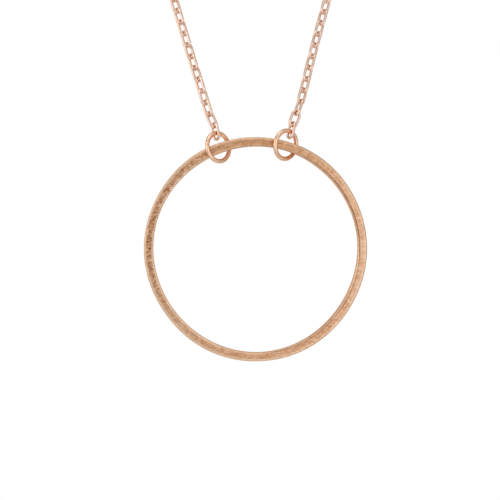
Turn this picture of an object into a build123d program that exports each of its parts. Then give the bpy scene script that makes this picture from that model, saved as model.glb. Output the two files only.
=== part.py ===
from build123d import *
import math
import os

import numpy as np

# Open circle pendant on a cable chain, in millimetres, as it hangs when worn.
# The origin is the middle of the nape, where the loop hangs. +Z is up and -Y is the front.

# The open circle: a band of flat wire with softly rounded edges
circle_across = 35.0
circle_width = 1.47
circle_thick = 1.2
circle_edge = 0.28

# The two jump rings: their wire, the room round the band inside them and how far they are lifted in it
ring_wire = 0.7
ring_room = 0.55
ring_lift = 0.15

# Where each ring stands from the middle of the circle, and its lean and turn in degrees
left_ring_out = 5.98
left_ring_lean = -10
left_ring_turn = 35
right_ring_out = 4.6
right_ring_lean = 14
right_ring_turn = 35.5

# The oval chain link, the room beside a ring's wire in it and the gap between links that hold each other
link_wire = 0.43
link_pitch = 1.93
link_room = 0.15
link_gap = 0.14

# How high the first link stands off its ring, and how far past the ring's top in degrees
hook_gap = 0.4
left_hook_past_top = 0
right_hook_past_top = 10

# The spring ring clasp with its lever and eye, and the ring on the other strand
clasp_across = 6.0
clasp_tube = 1.2
clasp_lever = 0.8
clasp_lever_reach = 0.9
clasp_middle = 0.9
eye_across = 2.5
eye_wire = 0.5
eye_seat = 0.3
clasp_ring_across = 4.2
clasp_ring_wire = 0.6
clasp_gap = 0.15

# How far the band hangs below the nape and in front of it, and the middle of the neck
band_drop = 157.4
pendant_forward = 80.5
neck_back = 40.0

# The way of the strands, chosen by hand: each start from its first joint, the rest from the nape
left_start = [(-0.34, 0.2, 1.83), (-1.09, 0.45, 3.6), (-1.64, 0.75, 5.4), (-3.13, 1.7, 10.5), (-6.21, 3.8, 21.3)]
right_start = [(0.46, 0.2, 1.83), (1.15, 0.45, 3.6), (1.78, 0.75, 5.4), (3.22, 1.7, 10.5), (6.38, 3.8, 21.3)]
collar = [(23.9, -69.3, -94.0), (33.0, -63.2, -64.0), (41.9, -49.5, -39.0)]
collar += [(43.4, -28.5, -18.5), (32.0, -10.2, -6.2), (16.5, -1.9, -1.1)]

# How many degrees a link is turned from facing outwards, by its number along the strand
left_turns = [(0, -48), (1, -43), (6, -41), (9, -33), (14, -30), (30, -38)]
right_turns = [(0, -71), (1, -81), (2, -79), (3, -62), (4, -66), (12, -66), (30, -72)]
wander_turn = 3
wander_links = 2.3
clasp_turn_links = 9

# Sizes that follow from the ones above
circle_outer = circle_across / 2
circle_inner = circle_outer - circle_width
circle_mean = (circle_outer + circle_inner) / 2
mean_out = (left_ring_out + right_ring_out) / 2
half_band = circle_width / 2 * circle_mean / math.sqrt(circle_mean**2 - mean_out**2)
half_cut = circle_thick / 2 / math.sin(math.radians(min(left_ring_turn, right_ring_turn)))
ring_hole = math.hypot(half_band, half_cut) + ring_room
ring_mean = ring_hole + ring_wire / 2
link_width = ring_wire + link_room + 2 * link_wire
link_bend = (link_width - link_wire) / 2
link_length = link_pitch + 2 * link_wire + link_gap
link_side = (link_length - link_width) / 2
link_reach = (link_wire + link_gap) / 2
circle_drop = band_drop + math.sqrt(circle_mean**2 - mean_out**2)
circle_middle = Vector(0, -pendant_forward, -circle_drop)

# The clasp lies across the nape, and each strand ends at a joint just inside its wire
clasp_mean = (clasp_across - clasp_tube) / 2
eye_mean = (eye_across - eye_wire) / 2
eye_middle = clasp_middle + clasp_mean + eye_seat + eye_mean
clasp_ring_mean = (clasp_ring_across - clasp_ring_wire) / 2
clasp_ring_right = clasp_middle - clasp_mean + (clasp_tube + clasp_ring_wire) / 2 + clasp_gap
clasp_ring_middle = clasp_ring_right - clasp_ring_mean
left_end = clasp_ring_middle - clasp_ring_mean + (clasp_ring_wire + link_wire) / 2 + clasp_gap - link_reach
right_end = eye_middle + eye_mean - (eye_wire + link_wire) / 2 - clasp_gap + link_reach


def ring_plane(out, lean, turn):
    """The plane of a jump ring on the band: its long way leans sideways and it is turned about it."""
    middle = circle_middle + Vector(out, 0, math.sqrt(circle_mean**2 - out**2) + ring_lift)
    tilt = math.radians(lean)
    long_way = Vector(math.sin(tilt), 0, math.cos(tilt))
    facing = Vector(0, -1, 0).rotate(Axis((0, 0, 0), long_way), turn)
    return Plane(origin=middle, x_dir=long_way, z_dir=facing)


def ring_hook(ring, past_top):
    """The middle of a jump ring's wire at some degrees past its top, where a strand holds it."""
    way = ring.x_dir.rotate(Axis((0, 0, 0), ring.z_dir), -past_top)
    return ring.origin + way * ring_mean


def strand_points(hook, start, side, end):
    """The points of one strand: the first link straddles the hook, then the way up to the nape."""
    first_way = Vector(*start[0]).normalized()
    first_joint = hook - first_way * ((ring_wire + link_wire) / 2 + hook_gap - link_reach)
    points = [first_joint] + [first_joint + Vector(*step) for step in start]
    return points + [Vector(side * x, y, z) for x, y, z in collar] + [Vector(end, 0, 0)]


def link_turn(number, count, turns, last_turn):
    """The turn of one link: the table, a slow wander and at the end an even turn to suit the clasp."""
    final = last_turn - 90 * ((count - 1) % 2)
    if final > 45:
        final -= 180
    table = turns + [(count - clasp_turn_links, turns[-1][1]), (count - 1, final)]
    links, degrees = zip(*table)
    fade = min(1, (count - 1 - number) / clasp_turn_links, number / clasp_turn_links)
    wander = wander_turn * fade * math.sin(number / wander_links)
    return float(np.interp(number, links, degrees)) + wander + 90 * (number % 2)


def link_planes(way, turns, last_turn):
    """The plane of each link, halfway between two joints that lie one pitch apart on the way."""
    count = round(way.length / link_pitch)
    joints = [way.position_at(step / count) for step in range(count + 1)]
    planes = []
    for number, (low, high) in enumerate(zip(joints, joints[1:])):
        middle = (low + high) / 2
        heading = (high - low).normalized()
        outward = Vector(middle.X, middle.Y + neck_back, 0)
        facing = (outward - heading * outward.dot(heading)).normalized()
        facing = facing.rotate(Axis((0, 0, 0), heading), link_turn(number, count, turns, last_turn))
        planes.append(Plane(origin=middle, x_dir=facing, z_dir=heading))
    return planes


left_ring = ring_plane(-left_ring_out, left_ring_lean, left_ring_turn)
right_ring = ring_plane(right_ring_out, right_ring_lean, right_ring_turn)
left_hook = ring_hook(left_ring, left_hook_past_top)
right_hook = ring_hook(right_ring, right_hook_past_top)

with BuildLine() as left_way:
    Spline(*strand_points(left_hook, left_start, -1, left_end))

with BuildLine() as right_way:
    Spline(*strand_points(right_hook, right_start, 1, right_end))

with BuildPart() as circle_pendant:
    with BuildSketch(Plane(origin=circle_middle, x_dir=(1, 0, 0), z_dir=(0, -1, 0))):
        Circle(circle_outer)
        Circle(circle_inner, mode=Mode.SUBTRACT)
    extrude(amount=circle_thick / 2, both=True)
    fillet(circle_pendant.edges().filter_by(GeomType.CIRCLE), radius=circle_edge)

with BuildPart(left_ring) as jump_ring_left:
    Torus(ring_mean, ring_wire / 2)

with BuildPart(right_ring) as jump_ring_right:
    Torus(ring_mean, ring_wire / 2)

# One link stands upright and faces along X: two straight sides and two half round ends
with BuildPart() as link:
    with BuildSketch(Plane.XY):
        with Locations((0, link_bend), (0, -link_bend)):
            Circle(link_wire / 2)
    extrude(amount=link_side, both=True)
    with BuildSketch(Plane.XY.offset(link_side)):
        with Locations((0, link_bend)):
            Circle(link_wire / 2)
    revolve(axis=Axis((0, 0, link_side), (1, 0, 0)), revolution_arc=180)
    mirror(about=Plane.XY)

# The last link of each strand is turned flat or upright, square to the wire that it ends on
with BuildPart() as chain_left:
    with Locations(*link_planes(left_way.edge(), left_turns, 0)):
        add(link.part)

with BuildPart() as chain_right:
    with Locations(*link_planes(right_way.edge(), right_turns, 90)):
        add(link.part)

with BuildPart(Plane(origin=(clasp_middle, 0, 0), x_dir=(1, 0, 0), z_dir=(0, 1, 0))) as clasp:
    Torus(clasp_mean, clasp_tube / 2)
    with Locations((eye_middle - clasp_middle, 0, 0)):
        Torus(eye_mean, eye_wire / 2)
    with BuildSketch(Plane.XY.offset(clasp_mean)):
        with Locations((clasp_middle, 0)):
            Circle(clasp_lever / 2)
    extrude(amount=clasp_tube / 2 + clasp_lever_reach)

with BuildPart(Plane(origin=(clasp_ring_middle, 0, 0))) as clasp_ring:
    Torus(clasp_ring_mean, clasp_ring_wire / 2)

pieces = {
    "circle_pendant": circle_pendant,
    "jump_ring_left": jump_ring_left,
    "jump_ring_right": jump_ring_right,
    "chain_left": chain_left,
    "chain_right": chain_right,
    "clasp": clasp,
    "clasp_ring": clasp_ring,
}
os.makedirs("parts", exist_ok=True)
for name, piece in pieces.items():
    piece.part.label = name
    export_step(piece.part, f"parts/{name}.step")

way_length = left_way.edge().length + right_way.edge().length
loop_length = way_length + (right_hook - left_hook).length + right_end - left_end
print("links", len(chain_left.part.solids()), len(chain_right.part.solids()), "each", link_length, link_width)
print("ring across", 2 * (ring_mean + ring_wire / 2), "whole loop", loop_length)
print("the pendant swings about", left_hook, right_hook)
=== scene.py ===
import math

import bpy
import numpy as np
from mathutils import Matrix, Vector


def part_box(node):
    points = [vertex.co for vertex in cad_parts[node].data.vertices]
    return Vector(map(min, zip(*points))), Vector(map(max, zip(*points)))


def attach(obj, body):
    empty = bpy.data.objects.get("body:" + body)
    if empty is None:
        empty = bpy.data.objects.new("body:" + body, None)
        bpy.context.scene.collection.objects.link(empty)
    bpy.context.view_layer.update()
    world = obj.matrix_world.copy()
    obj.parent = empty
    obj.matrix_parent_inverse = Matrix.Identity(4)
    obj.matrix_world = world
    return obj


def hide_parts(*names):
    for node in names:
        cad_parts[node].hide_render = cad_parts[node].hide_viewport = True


# An open circle pendant of brushed rose gold metal on a polished cable chain.
# Lengths are in millimetres where a name ends in _mm, and otherwise in metres as in Blender.
# A colour of three numbers is a screen colour of 0 to 255, and one of four is linear with alpha.

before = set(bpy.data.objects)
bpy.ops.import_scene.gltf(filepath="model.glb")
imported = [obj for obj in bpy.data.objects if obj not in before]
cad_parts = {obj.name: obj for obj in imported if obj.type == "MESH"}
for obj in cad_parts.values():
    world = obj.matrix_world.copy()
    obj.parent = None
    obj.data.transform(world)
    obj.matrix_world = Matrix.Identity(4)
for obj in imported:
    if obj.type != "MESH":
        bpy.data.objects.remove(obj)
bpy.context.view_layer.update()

MM = 0.001

# The band of the circle: its width, its rounded edges and how far its faces are crowned
band_width_mm = 1.47
band_edge_mm = 0.28
band_crown_mm = 0.015

# The steps round the circle, round each of the band's edges and across each of its faces
band_steps = 480
band_edge_steps = 8
band_face_steps = 6

# The waves in which the hand filed band leaves the round: count round the circle, height in
# millimetres and phase in degrees, for the middle line and for the width
middle_waves = [(3, 0.05, -20), (4, 0.03, 90), (6, 0.015, 90)]
width_waves = [(2, 0.025, -125), (3, 0.03, 130), (4, 0.04, -75), (5, 0.03, -125), (6, 0.03, 100)]

# How pale the two sides are, partly by wear and partly by painted highlight on the rounded edges: how
# far in from the side, over what way that ends, and how pale by the angle round the circle in degrees,
# where 0 is at the right and 90 at the top
outer_reach_mm = 0.46
inner_reach_mm = 0.38
rim_fade_mm = 0.25
outer_wear_and_highlight = [(-180, 0.65), (-150, 1), (-80, 1.1), (-55, 0.8), (-20, 0.6), (60, 0.5), (100, 0.7)]
outer_wear_and_highlight += [(130, 0.85), (160, 0.65), (180, 0.65)]
inner_wear_and_highlight = [(-180, 0.8), (-150, 1.1), (-120, 1.1), (-100, 0.5), (-40, 0.4), (0, 0.6), (90, 0.4)]
inner_wear_and_highlight += [(120, 0.6), (150, 0.6), (180, 0.8)]

# How bright the satin is and how deep its dark flecks are, by the same angle
# Partly the satin's own tone and flecks, and partly painted shade that darkens the top and the left
satin_levels = [(-180, 0.8), (-140, 0.85), (-110, 0.7), (-60, 0.6), (-10, 1), (15, 1)]
satin_levels += [(45, 0.65), (85, 0.05), (110, 0.4), (135, 0.9), (160, 0.8), (180, 0.8)]
fleck_levels = [(-180, 0.9), (-150, 0.5), (-110, 0.3), (-60, 0.4), (0, 0.2), (60, 0.35), (100, 0.4)]
fleck_levels += [(125, 0.6), (160, 0.9), (180, 0.9)]

# The painted dark reflection on the front, a thin line near the inner wall: its depth by the same angle,
# how far it lies from the inner wall and its width
line_depths = [(-88, 0), (-78, 0.5), (-30, 0.5), (-10, 0.4), (0, 0.9), (36, 0.85), (58, 0.5), (66, 0)]
line_place_mm = 0.22
line_width_mm = 0.22

# The marks of the brush: how steeply they rise to the right in degrees, and length, width and contrast
long_rise = 12
short_rise = -38
long_marks = {"Length": 0.8 * MM, "Width": 0.15 * MM, "Contrast": 2.6}
short_marks = {"Length": 0.4 * MM, "Width": 0.12 * MM, "Contrast": 2.4}
fleck_marks = {"Length": 0.45 * MM, "Width": 0.15 * MM, "Contrast": 9.0}

# How much of the satin's tone and relief comes from the long marks and from the short ones
long_share = 0.6
short_share = 0.4

# The satin's mottled tone, and over it the marks, flecks, a duller tint that is partly painted shade,
# pale sides of wear and painted highlight, and a painted dark reflection line
tone_size_mm = 0.55
tone_deep = (214, 168, 132)
tone_light = (238, 201, 170)
mark_color = (164, 98, 46)
fleck_color = (132, 62, 2)
dull_and_shade_tint = (244, 234, 216)
worn_and_highlight_color = (251, 217, 184)
dark_reflection_color = (120, 50, 0)

# The flecks and the pale sides of wear and painted highlight come in clumps. Pairs of shares are those
# outside and inside a clump.
clump_size_mm = 1.2
clump_flecks = (0.75, 1.1)
clump_rim_paling = (0.5, 0.9)

# The lightest mark that still darkens, the marks' depth on duller, shaded satin and on bright satin, and
# how much of the painted dark reflection line is left in dark and in light marks
mark_start = 0.72
mark_depths = (0.5, 0.25)
line_left = (1.75, 0.15)

# The satin's roughness in dark and in light marks, what wear adds to it, and the relief of the marks
satin_roughness = (0.48, 0.36)
worn_roughness = -0.05
satin_relief = 0.55
satin_relief_mm = 0.02

# The noise behind the marks, and the one behind a drifting colour, with the levels of its two ends
mark_detail = 3.0
mark_raggedness = 0.65
drift_detail = 2.0
drift_low = 0.3
drift_high = 0.7

# The polished wires' draw marks, with the roughness that they add and their relief
draw_marks = {"Length": 0.35 * MM, "Width": 0.09 * MM, "Contrast": 2.0}
draw_roughness = 0.1
draw_relief = 0.25
draw_relief_mm = 0.006

# The painted shade in the corners where two wires come close: how far that reaches, and how open a place
# is where the painted shade begins and where it is full
corner_reach_mm = 0.3
corner_samples = 8
corner_open = 0.75
corner_shut = 0.1
corner_shade_color = (140, 74, 38)

# Each polish: the two colours that it drifts between, over what size, and its lowest roughness
ring_finish = {"deep": (248, 190, 150), "light": (255, 221, 193), "size_mm": 1.4, "roughness": 0.16}
chain_finish = {"deep": (242, 202, 177), "light": (255, 228, 210), "size_mm": 1.1, "roughness": 0.16}
clasp_finish = {"deep": (236, 184, 154), "light": (250, 206, 182), "size_mm": 2.0, "roughness": 0.18}

# The tint of the metals' glancing reflections
glance_tint = (255, 214, 188)

# The seam where a jump ring's wire ends meet: how deep and how wide the groove is, and how far round
# from the ring's top it lies, in degrees
seam_depth_share = 0.12
seam_half_width = math.radians(1.6)
seam_turns = {"jump_ring_left": 78, "jump_ring_right": 38.5}

# A ring's size as a share of its CAD node's, and the steps round the ring and round its wire
ring_fit = 0.998
ring_steps = 220
ring_wire_steps = 28

# The photo's camera, measured from the circle's middle, and where the circle lies in the photo
camera_azimuth = math.radians(-6.9)
camera_elevation = math.radians(0.9)
camera_distance = 0.21
camera_near = 0.01
camera_far = 20
frame_pixels = 500
circle_pixels = 224.7
circle_middle_pixel = (256.5, 249.1)
sensor_width_mm = 36.0

# The studio's brightness in reflections, by the cosine of the angle from straight behind
world_levels = [(-1, 0.75), (-0.8, 0.72), (-0.35, 0.62), (0.1, 0.52), (0.6, 0.42)]
world_levels += [(0.84, 0.55), (0.93, 1), (1, 1)]
white = (1, 1, 1, 1)

# The soft boxes: azimuth and elevation in degrees, distance, width, height and brightness
soft_boxes = {
    "right_soft_box": (26, -3, 0.14, 0.08, 0.12, 0.7),
    "top_soft_box": (-10, 68, 1.1, 0.9, 0.7, 1.0),
    "left_soft_box": (-74, 10, 1.1, 1.1, 0.9, 0.95),
}

# The round floor lies well below the hanging circle, and fades away between two shares of its radius
floor_drop = 0.16
floor_radius = 0.6
floor_middle_y = -0.04
floor_points = 96
floor_color = (0.9, 0.9, 0.9, 1)
floor_roughness = 0.9
floor_fade_start = 0.45
floor_fade_end = 0.98


def linear(color):
    """The linear colour, with alpha, of a screen colour, by the usual curve of a screen."""
    share = np.array(color) / 255
    light = np.where(share <= 0.04045, share / 12.92, ((share + 0.055) / 1.055) ** 2.4)
    return (*light.tolist(), 1.0)


def mesh_object(name, points, quads):
    """A smooth mesh of points and quads, at the origin, in the scene."""
    mesh = bpy.data.meshes.new(name)
    mesh.from_pydata(points.tolist(), [], quads.tolist())
    mesh.polygons.foreach_set("use_smooth", np.ones(len(quads), dtype=bool))
    piece = bpy.data.objects.new(name, mesh)
    bpy.context.collection.objects.link(piece)
    return piece


def closed_quads(rows, columns):
    """The quads of a grid of points that closes on itself along both its rows and its columns."""
    index = np.arange(rows * columns).reshape(rows, columns)
    across = np.roll(index, -1, axis=1)
    corners = [index, across, np.roll(across, -1, axis=0), np.roll(index, -1, axis=0)]
    return np.stack(corners, axis=-1).reshape(-1, 4)


def node_points(node):
    """The places of a CAD node's mesh points, as an array with a row for each."""
    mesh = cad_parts[node].data
    points = np.empty(len(mesh.vertices) * 3)
    mesh.vertices.foreach_get("co", points)
    return points.reshape(-1, 3)


def node_middle(node):
    """The middle of a CAD node's box."""
    low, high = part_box(node)
    return (np.array(low) + np.array(high)) / 2


def band_section(width, thick, edge, crown):
    """The rounded section of the band, going round it once.

    Each corner is a quarter circle of the edge's radius, and a face goes on from it to the next one.
    The inner and outer faces are straight, and the front and back faces bulge by a parabola: crown
    times one less the square of the place across the face. The two arrays are the way out from the
    band's middle line and the way back.
    """
    turn = np.linspace(0, math.pi / 2, band_edge_steps + 1)
    flat = np.linspace(-1, 1, band_face_steps + 1)[1:-1]
    half_out, half_back = width / 2 - edge, thick / 2 - edge - crown
    out, back = [], []
    for side_out, side_back, quarter in ((1, 1, 0), (-1, 1, 1), (-1, -1, 2), (1, -1, 3)):
        angle = turn + quarter * math.pi / 2
        out.append(side_out * half_out + edge * np.cos(angle))
        back.append(side_back * half_back + edge * np.sin(angle))
        if quarter % 2 == 0:
            out.append(-side_out * flat * half_out)
            back.append(side_back * (half_back + edge + crown * (1 - flat**2)))
        else:
            out.append(np.full(len(flat), side_out * (half_out + edge)))
            back.append(-side_back * flat * half_back)
    return np.concatenate(out), np.concatenate(back)


def waves(table, angle):
    """The sum of sines round the circle: height times the sine of count times the angle plus phase."""
    parts = [height * MM * np.sin(count * angle + math.radians(phase)) for count, height, phase in table]
    return np.sum(parts, axis=0)


def satin_shares(angle, out, back, width):
    """What the satin is like at each point of the band, by the name of the mesh's attribute.

    Each table is read at the point's angle round the circle. A side's paleness, partly wear and
    partly painted highlight, is full next to the side, and then falls evenly to none at the side's
    reach. Only the front has the painted dark reflection line.
    """
    degrees = np.degrees(np.angle(np.exp(1j * angle))) + 0 * out
    tables = (satin_levels, fleck_levels, line_depths, outer_wear_and_highlight, inner_wear_and_highlight)
    bright, flecked, reflection_line, outer, inner = (np.interp(degrees, *zip(*table)) for table in tables)
    past_end = np.where(out > 0, outer_reach_mm, inner_reach_mm) * MM - width / 2 + np.abs(out)
    pale_rim = np.where(out > 0, outer, inner) * np.clip(past_end / (rim_fade_mm * MM), 0, 1)
    return {"edge": pale_rim, "reflection_line": (back < 0) * reflection_line, "bright": bright, "flecked": flecked}


def make_circle():
    """The open circle: the band's section carried once round the middle line of the circle.

    A point at angle a stands at the middle line's radius plus the section's way out, times the
    cosine and sine of a, and the section's way back is along Y. The middle line's radius and the
    band's width each leave the round by a sum of sines of a, and the whole is drawn in until it is
    inside its CAD node at the top, the bottom and both sides.
    """
    low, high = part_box("circle_pendant")
    radius = (high[0] - low[0]) / 2
    width = band_width_mm * MM
    out, back = band_section(width, high[1] - low[1], band_edge_mm * MM, band_crown_mm * MM)
    angle = np.linspace(0, 2 * math.pi, band_steps, endpoint=False)[:, None]
    sides = np.radians([0, 90, 180, 270])
    sunk = np.max(waves(middle_waves, sides) + waves(width_waves, sides) / 2)
    spread = 1 + waves(width_waves, angle) / width
    reach = radius - width / 2 - sunk + waves(middle_waves, angle) + out * spread
    points = np.stack([reach * np.cos(angle), back + 0 * angle, reach * np.sin(angle)], axis=-1)
    points = points.reshape(-1, 3) + node_middle("circle_pendant")
    piece = mesh_object("open_circle", points, closed_quads(band_steps, len(out)))
    for title, values in satin_shares(angle, out, back, width).items():
        share = piece.data.attributes.new(title, "FLOAT", "POINT")
        share.data.foreach_set("value", values.ravel())
    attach(piece, "pendant")
    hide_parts("circle_pendant")
    return piece


def make_jump_ring(node):
    """A jump ring: a round wire carried once round, with the seam where its two ends meet.

    Its middle, plane and sizes are those of its CAD node, whose points spread least along the
    ring's axis, and the axis is taken towards the front. The wire's radius is cut by a groove that
    falls off as a bell curve of the angle from the seam, and the seam's own angle is counted from
    the ring's top towards the left of the picture.
    """
    middle = node_middle(node)
    from_middle = node_points(node) - middle
    axis = np.linalg.eigh(from_middle.T @ from_middle)[1][:, 0]
    axis = axis * -np.sign(axis[1])
    upwards = np.array([0, 0, 1]) - axis * axis[2]
    upwards = upwards / np.linalg.norm(upwards)
    sideways = np.cross(axis, upwards)
    wire = np.abs(from_middle @ axis).max() * ring_fit
    mean = np.hypot(from_middle @ upwards, from_middle @ sideways).max() * ring_fit - wire
    turn = np.linspace(0, 2 * math.pi, ring_steps, endpoint=False)[:, None]
    round_wire = np.linspace(0, 2 * math.pi, ring_wire_steps, endpoint=False)[None, :]
    from_seam = np.angle(np.exp(1j * (turn - math.radians(seam_turns[node]))))
    groove = 1 - seam_depth_share * np.exp(-((from_seam / seam_half_width) ** 2))
    reach = mean + wire * groove * np.cos(round_wire)
    lift = wire * groove * np.sin(round_wire)
    places = (reach * np.cos(turn))[..., None] * upwards + (reach * np.sin(turn))[..., None] * sideways
    places = places - lift[..., None] * axis + middle
    piece = mesh_object(f"{node}_wire", places.reshape(-1, 3), closed_quads(ring_steps, ring_wire_steps))
    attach(piece, "pendant")
    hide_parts(node)
    return piece


def connect(tree, socket, value):
    """Feed an input socket: link it where the value is a socket, and otherwise set it."""
    if isinstance(value, bpy.types.NodeSocket):
        tree.links.new(value, socket)
    else:
        socket.default_value = value


def math_node(tree, operation, *values, clamp=False):
    """The output of a Math node whose inputs are sockets or numbers."""
    node = tree.nodes.new("ShaderNodeMath")
    node.operation = operation
    node.use_clamp = clamp
    for socket, value in zip(node.inputs, values):
        connect(tree, socket, value)
    return node.outputs[0]


def vector_node(tree, operation, *values):
    """A Vector Math node whose inputs are sockets or vectors."""
    node = tree.nodes.new("ShaderNodeVectorMath")
    node.operation = operation
    for socket, value in zip(node.inputs, values):
        connect(tree, socket, value)
    return node


def between(tree, share, low, high, clamp=False):
    """A value that goes evenly from low, where the share is none, to high, where it is full."""
    return math_node(tree, "MULTIPLY_ADD", share, high - low, low, clamp=clamp)


def mapped(tree, value, start, end):
    """A share that goes from none where the value is start to full where it is end."""
    node = tree.nodes.new("ShaderNodeMapRange")
    node.inputs["From Min"].default_value = start
    node.inputs["From Max"].default_value = end
    tree.links.new(value, node.inputs["Value"])
    return node.outputs[0]


def blend(tree, share, first, second, kind="MIX"):
    """The output of a colour Mix node whose share and colours are sockets or constant values."""
    node = tree.nodes.new("ShaderNodeMix")
    node.data_type = "RGBA"
    node.blend_type = kind
    for title, value in (("Factor", share), ("A", first), ("B", second)):
        socket = [one for one in node.inputs if one.name == title and one.enabled][0]
        connect(tree, socket, value)
    return node.outputs["Result"]


def attribute(tree, title):
    """The value of one of the mesh's own attributes."""
    node = tree.nodes.new("ShaderNodeAttribute")
    node.attribute_name = title
    return node.outputs["Fac"]


def relief(tree, height, strength, depth_mm):
    """The normal of a shallow relief of this height."""
    bump = tree.nodes.new("ShaderNodeBump")
    bump.inputs["Strength"].default_value = strength
    bump.inputs["Distance"].default_value = depth_mm * MM
    tree.links.new(height, bump.inputs["Height"])
    return bump.outputs["Normal"]


def new_group(name, inputs, outputs):
    """An empty shader node group with named inputs and outputs, and its two end nodes."""
    group = bpy.data.node_groups.new(name, "ShaderNodeTree")
    for title, kind, value in inputs:
        socket = group.interface.new_socket(title, in_out="INPUT", socket_type=kind)
        if value is not None:
            socket.default_value = value
    for title, kind in outputs:
        group.interface.new_socket(title, in_out="OUTPUT", socket_type=kind)
    return group, group.nodes.new("NodeGroupInput"), group.nodes.new("NodeGroupOutput")


def use_group(tree, group, vector, **values):
    """The outputs of a group fed with a vector and its own values, named as the group's inputs."""
    node = tree.nodes.new("ShaderNodeGroup")
    node.node_tree = group
    tree.links.new(vector, node.inputs["Vector"])
    for title, value in values.items():
        node.inputs[title].default_value = value
    return node.outputs


def marks_group():
    """Short straight marks: noise that is stretched along the first way of its vector.

    The vector's first way is divided by the length of a mark and the other two by its width. The
    noise less one half is then multiplied by the contrast, and one half is added.
    """
    inputs = [("Vector", "NodeSocketVector", None), ("Length", "NodeSocketFloat", 1 * MM)]
    inputs += [("Width", "NodeSocketFloat", 0.2 * MM), ("Contrast", "NodeSocketFloat", 2.0)]
    group, start, end = new_group("brush_marks", inputs, [("Marks", "NodeSocketFloat")])
    per_length = math_node(group, "DIVIDE", 1.0, start.outputs["Length"])
    per_width = math_node(group, "DIVIDE", 1.0, start.outputs["Width"])
    ways = group.nodes.new("ShaderNodeCombineXYZ")
    for way, value in (("X", per_length), ("Y", per_width), ("Z", per_width)):
        group.links.new(value, ways.inputs[way])
    stretched = vector_node(group, "MULTIPLY", start.outputs["Vector"], ways.outputs[0])
    noise = group.nodes.new("ShaderNodeTexNoise")
    noise.inputs["Scale"].default_value = 1.0
    noise.inputs["Detail"].default_value = mark_detail
    noise.inputs["Roughness"].default_value = mark_raggedness
    group.links.new(stretched.outputs[0], noise.inputs["Vector"])
    centred = math_node(group, "SUBTRACT", noise.outputs[0], 0.5)
    pulled = math_node(group, "MULTIPLY_ADD", centred, start.outputs["Contrast"], 0.5, clamp=True)
    group.links.new(pulled, end.inputs["Marks"])
    return group


def drift_group():
    """A slow drift between two colours over the surface, by soft noise of one size."""
    inputs = [("Vector", "NodeSocketVector", None), ("Size", "NodeSocketFloat", 3 * MM)]
    inputs += [("Deep", "NodeSocketColor", linear(tone_deep))]
    inputs += [("Light", "NodeSocketColor", linear(tone_light))]
    outputs = [("Color", "NodeSocketColor"), ("Share", "NodeSocketFloat")]
    group, start, end = new_group("colour_drift", inputs, outputs)
    noise = group.nodes.new("ShaderNodeTexNoise")
    noise.inputs["Detail"].default_value = drift_detail
    group.links.new(start.outputs["Vector"], noise.inputs["Vector"])
    group.links.new(math_node(group, "DIVIDE", 1.0, start.outputs["Size"]), noise.inputs["Scale"])
    share = mapped(group, noise.outputs[0], drift_low, drift_high)
    color = blend(group, share, start.outputs["Deep"], start.outputs["Light"])
    group.links.new(color, end.inputs["Color"])
    group.links.new(share, end.inputs["Share"])
    return group


def new_metal(name):
    """A metal material, its node tree, its shader and the place on the object that it reads."""
    material = bpy.data.materials.new(name)
    material.use_nodes = True
    tree = material.node_tree
    shader = tree.nodes["Principled BSDF"]
    shader.inputs["Metallic"].default_value = 1.0
    shader.inputs["Specular Tint"].default_value = linear(glance_tint)
    place = tree.nodes.new("ShaderNodeTexCoord")
    return material, tree, shader, place.outputs["Object"]


def turned(tree, place, rise):
    """The place turned about the circle's axis, so that marks with this rise run along its first way."""
    mapping = tree.nodes.new("ShaderNodeMapping")
    mapping.inputs["Rotation"].default_value = (0, math.radians(rise), 0)
    tree.links.new(place, mapping.inputs["Vector"])
    return mapping.outputs["Vector"]


def on_dark_reflection_line(tree, place, middle, radius):
    """The share of the painted dark reflection line: full within a quarter of its width from a circle
    round the middle.
    """
    from_middle = vector_node(tree, "SUBTRACT", place, middle)
    flat = vector_node(tree, "MULTIPLY", from_middle.outputs[0], (1, 0, 1))
    reach = vector_node(tree, "LENGTH", flat.outputs[0]).outputs["Value"]
    from_line = math_node(tree, "ABSOLUTE", math_node(tree, "SUBTRACT", reach, radius))
    return mapped(tree, from_line, line_width_mm * MM / 2, line_width_mm * MM / 4)


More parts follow.
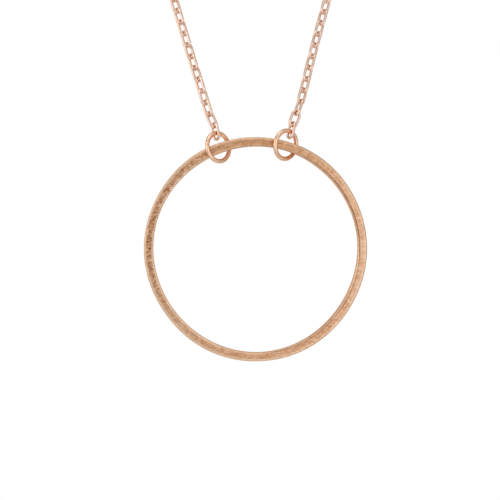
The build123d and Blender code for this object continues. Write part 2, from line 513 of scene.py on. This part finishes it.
def brushed_metal(marks, drift, middle, inner_radius):
    """The satin of the circle: marks on a mottled tone, dark flecks, a duller tint that is partly painted
    shade, pale sides of wear and painted highlight, and a painted dark reflection line.

    How bright, flecked and pale at the sides it is, and where the dark line lies, comes from the mesh's
    own attributes, and the line keeps its distance from the inner wall.
    """
    material, tree, shader, place = new_metal("brushed_rose_gold_satin")
    long_way = turned(tree, place, long_rise)
    short_way = turned(tree, place, short_rise)
    long_tone = use_group(tree, marks, long_way, **long_marks)["Marks"]
    short_tone = use_group(tree, marks, short_way, **short_marks)["Marks"]
    fleck_tone = use_group(tree, marks, long_way, **fleck_marks)["Marks"]
    tones = {"Deep": linear(tone_deep), "Light": linear(tone_light)}
    color = use_group(tree, drift, place, Size=tone_size_mm * MM, **tones)["Color"]
    clump = use_group(tree, drift, place, Size=clump_size_mm * MM)["Share"]
    edge = attribute(tree, "edge")
    bright = attribute(tree, "bright")

    long_part = math_node(tree, "MULTIPLY", long_tone, long_share)
    both_tones = math_node(tree, "MULTIPLY_ADD", short_tone, short_share, long_part)
    mark_dark = math_node(tree, "SUBTRACT", mark_start, both_tones, clamp=True)
    mark_shade = math_node(tree, "MULTIPLY", mark_dark, between(tree, bright, *mark_depths))
    color = blend(tree, mark_shade, color, linear(mark_color))

    fleck_dark = math_node(tree, "SUBTRACT", 1.0, fleck_tone, clamp=True)
    fleck_clump = math_node(tree, "MULTIPLY", fleck_dark, between(tree, clump, *clump_flecks))
    fleck_depth = math_node(tree, "MULTIPLY", fleck_clump, attribute(tree, "flecked"), clamp=True)
    fleck_share = math_node(tree, "MULTIPLY", fleck_depth, math_node(tree, "SUBTRACT", 1.0, edge))
    color = blend(tree, fleck_share, color, linear(fleck_color))

    # Painted shade, partly the satin's own duller tone: where the bright attribute is low, mostly at the
    # top, the colour is tinted darker
    dull_and_shaded = math_node(tree, "SUBTRACT", 1.0, bright, clamp=True)
    color = blend(tree, dull_and_shaded, color, linear(dull_and_shade_tint), kind="MULTIPLY")

    # Painted highlight, partly real wear: the rounded sides are paler
    worn_and_highlight_share = math_node(tree, "MULTIPLY", edge, between(tree, clump, *clump_rim_paling), clamp=True)
    color = blend(tree, worn_and_highlight_share, color, linear(worn_and_highlight_color))

    # Painted reflection: a thin dark line on the front near the inner wall, broken where the long marks
    # are light
    unbroken = between(tree, long_tone, *line_left, clamp=True)
    reflection_line = math_node(tree, "MULTIPLY", attribute(tree, "reflection_line"), unbroken)
    on_line = on_dark_reflection_line(tree, place, middle, inner_radius + line_place_mm * MM)
    color = blend(tree, math_node(tree, "MULTIPLY", reflection_line, on_line), color, linear(dark_reflection_color))
    tree.links.new(color, shader.inputs["Base Color"])

    rough = between(tree, both_tones, *satin_roughness)
    rough = math_node(tree, "MULTIPLY_ADD", edge, worn_roughness, rough)
    tree.links.new(rough, shader.inputs["Roughness"])
    tree.links.new(relief(tree, both_tones, satin_relief, satin_relief_mm), shader.inputs["Normal"])
    return material


def polished_metal(name, marks, drift, deep, light, size_mm, roughness):
    """A drawn and polished wire: a drifting colour, painted shade where wires come close, faint draw
    marks and soft polish.
    """
    material, tree, shader, place = new_metal(name)
    draw_tone = use_group(tree, marks, place, **draw_marks)["Marks"]
    colors = {"Deep": linear(deep), "Light": linear(light)}
    tone = use_group(tree, drift, place, Size=size_mm * MM, **colors)["Color"]
    # Painted shade: the colour turns dark brown where other wires are close by
    openness = tree.nodes.new("ShaderNodeAmbientOcclusion")
    openness.samples = corner_samples
    openness.inputs["Distance"].default_value = corner_reach_mm * MM
    in_painted_shade = mapped(tree, openness.outputs["AO"], corner_open, corner_shut)
    color = blend(tree, in_painted_shade, tone, linear(corner_shade_color))
    tree.links.new(color, shader.inputs["Base Color"])
    rough = between(tree, draw_tone, roughness, roughness + draw_roughness)
    tree.links.new(rough, shader.inputs["Roughness"])
    tree.links.new(relief(tree, draw_tone, draw_relief, draw_relief_mm), shader.inputs["Normal"])
    return material


def give_material(piece, material):
    """The piece has this material alone."""
    piece.data.materials.clear()
    piece.data.materials.append(material)


def give_node_material(node, material):
    """A CAD node's own slots get this material."""
    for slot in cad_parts[node].material_slots:
        slot.material = material


def floor_material():
    """A pale matt floor that fades to nothing, by a smooth step of the distance from its middle."""
    material = bpy.data.materials.new("pale_floor")
    material.use_nodes = True
    tree = material.node_tree
    shader = tree.nodes["Principled BSDF"]
    shader.inputs["Base Color"].default_value = floor_color
    shader.inputs["Roughness"].default_value = floor_roughness
    place = tree.nodes.new("ShaderNodeTexCoord")
    flat = tree.nodes.new("ShaderNodeMapping")
    flat.inputs["Location"].default_value = (0, -floor_middle_y, 0)
    flat.inputs["Scale"].default_value = (1, 1, 0)
    tree.links.new(place.outputs["Object"], flat.inputs["Vector"])
    reach = vector_node(tree, "LENGTH", flat.outputs["Vector"]).outputs["Value"]
    fade = tree.nodes.new("ShaderNodeMapRange")
    fade.interpolation_type = "SMOOTHSTEP"
    fade.inputs["From Min"].default_value = floor_radius * floor_fade_start
    fade.inputs["From Max"].default_value = floor_radius * floor_fade_end
    fade.inputs["To Min"].default_value = 1.0
    fade.inputs["To Max"].default_value = 0.0
    tree.links.new(reach, fade.inputs["Value"])
    tree.links.new(fade.outputs[0], shader.inputs["Alpha"])
    return material


def make_floor(level):
    """A round floor at one level, as a disc of one face."""
    turn = np.linspace(0, 2 * math.pi, floor_points, endpoint=False)
    rim = [floor_radius * np.cos(turn), floor_radius * np.sin(turn) + floor_middle_y, level + 0 * turn]
    mesh = bpy.data.meshes.new("floor")
    mesh.from_pydata(np.stack(rim, axis=-1).tolist(), [], [list(range(floor_points))])
    floor = bpy.data.objects.new("floor", mesh)
    bpy.context.collection.objects.link(floor)
    give_material(floor, floor_material())


def make_world():
    """White for the camera. Reflections see a grey studio, a bright front and a white backdrop.

    The brightness is a curve over one half plus half the cosine of the angle from straight behind.
    """
    world = bpy.data.worlds.new("studio")
    world.use_nodes = True
    bpy.context.scene.world = world
    tree = world.node_tree
    tree.nodes.clear()
    place = tree.nodes.new("ShaderNodeTexCoord")
    ways = tree.nodes.new("ShaderNodeSeparateXYZ")
    tree.links.new(place.outputs["Generated"], ways.inputs[0])
    level = tree.nodes.new("ShaderNodeFloatCurve")
    points = level.mapping.curves[0].points
    places = [(back / 2 + 0.5, brightness) for back, brightness in world_levels]
    points[0].location, points[1].location = places[0], places[-1]
    for spot in places[1:-1]:
        points.new(*spot)
    level.mapping.update()
    share = math_node(tree, "MULTIPLY_ADD", ways.outputs["Y"], 0.5, 0.5)
    tree.links.new(share, level.inputs["Value"])
    mix = tree.nodes.new("ShaderNodeMixShader")
    ray = tree.nodes.new("ShaderNodeLightPath")
    tree.links.new(ray.outputs["Is Camera Ray"], mix.inputs["Fac"])
    for slot, strength in ((1, level.outputs[0]), (2, 1.0)):
        background = tree.nodes.new("ShaderNodeBackground")
        background.inputs["Color"].default_value = white
        connect(tree, background.inputs["Strength"], strength)
        tree.links.new(background.outputs[0], mix.inputs[slot])
    out = tree.nodes.new("ShaderNodeOutputWorld")
    tree.links.new(mix.outputs[0], out.inputs["Surface"])


def way_from(azimuth, elevation):
    """The direction from the necklace towards an azimuth, where 0 is the front, and an elevation."""
    level = math.cos(elevation)
    return Vector((math.sin(azimuth) * level, -math.cos(azimuth) * level, math.sin(elevation)))


def soft_box(name, target, azimuth, elevation, distance, width, height, brightness):
    """A soft box that faces the target from a distance and two angles in degrees."""
    away = way_from(math.radians(azimuth), math.radians(elevation))
    light = bpy.data.lights.new(name, "AREA")
    light.shape = "RECTANGLE"
    light.size, light.size_y = width, height
    light.energy = brightness * math.pi * width * height
    box = bpy.data.objects.new(name, light)
    box.location = target + away * distance
    box.rotation_mode = "QUATERNION"
    box.rotation_quaternion = (-away).to_track_quat("-Z", "Y")
    box.visible_camera = False
    bpy.context.collection.objects.link(box)


def make_camera(target, across):
    """The photo's camera, placed so that the circle's middle falls on its pixel of the photo."""
    pixel = across / circle_pixels
    away = way_from(camera_azimuth, camera_elevation)
    right = Vector((math.cos(camera_azimuth), math.sin(camera_azimuth), 0))
    up = away.cross(right)
    middle = frame_pixels / 2
    aim = target + right * (middle - circle_middle_pixel[0]) * pixel
    aim += up * (circle_middle_pixel[1] - middle) * pixel
    data = bpy.data.cameras.new("photo_camera")
    data.sensor_width = sensor_width_mm
    data.lens = sensor_width_mm * camera_distance / (frame_pixels * pixel)
    data.clip_start, data.clip_end = camera_near, camera_far
    camera = bpy.data.objects.new("photo_camera", data)
    camera.location = aim + away * camera_distance
    camera.rotation_mode = "QUATERNION"
    camera.rotation_quaternion = (-away).to_track_quat("-Z", "Y")
    bpy.context.collection.objects.link(camera)
    bpy.context.scene.camera = camera


circle_low, circle_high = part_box("circle_pendant")
circle_across = circle_high[0] - circle_low[0]
circle_middle = Vector(node_middle("circle_pendant"))

make_camera(circle_middle, circle_across)

marks = marks_group()
drift = drift_group()
satin = brushed_metal(marks, drift, circle_middle, circle_across / 2 - band_width_mm * MM)
ring_polish = polished_metal("polished_rose_gold_rings", marks, drift, **ring_finish)
chain_polish = polished_metal("polished_rose_gold_chain", marks, drift, **chain_finish)
clasp_polish = polished_metal("polished_rose_gold_clasp", marks, drift, **clasp_finish)

give_material(make_circle(), satin)
for ring_node in ("jump_ring_left", "jump_ring_right"):
    give_material(make_jump_ring(ring_node), ring_polish)
for chain_node in ("chain_left", "chain_right"):
    give_node_material(chain_node, chain_polish)
for clasp_node in ("clasp", "clasp_ring"):
    give_node_material(clasp_node, clasp_polish)

make_floor(circle_low[2] - floor_drop)
make_world()
for box_name, setting in soft_boxes.items():
    soft_box(box_name, circle_middle, *setting)

bpy.context.scene.view_settings.view_transform = "Standard"
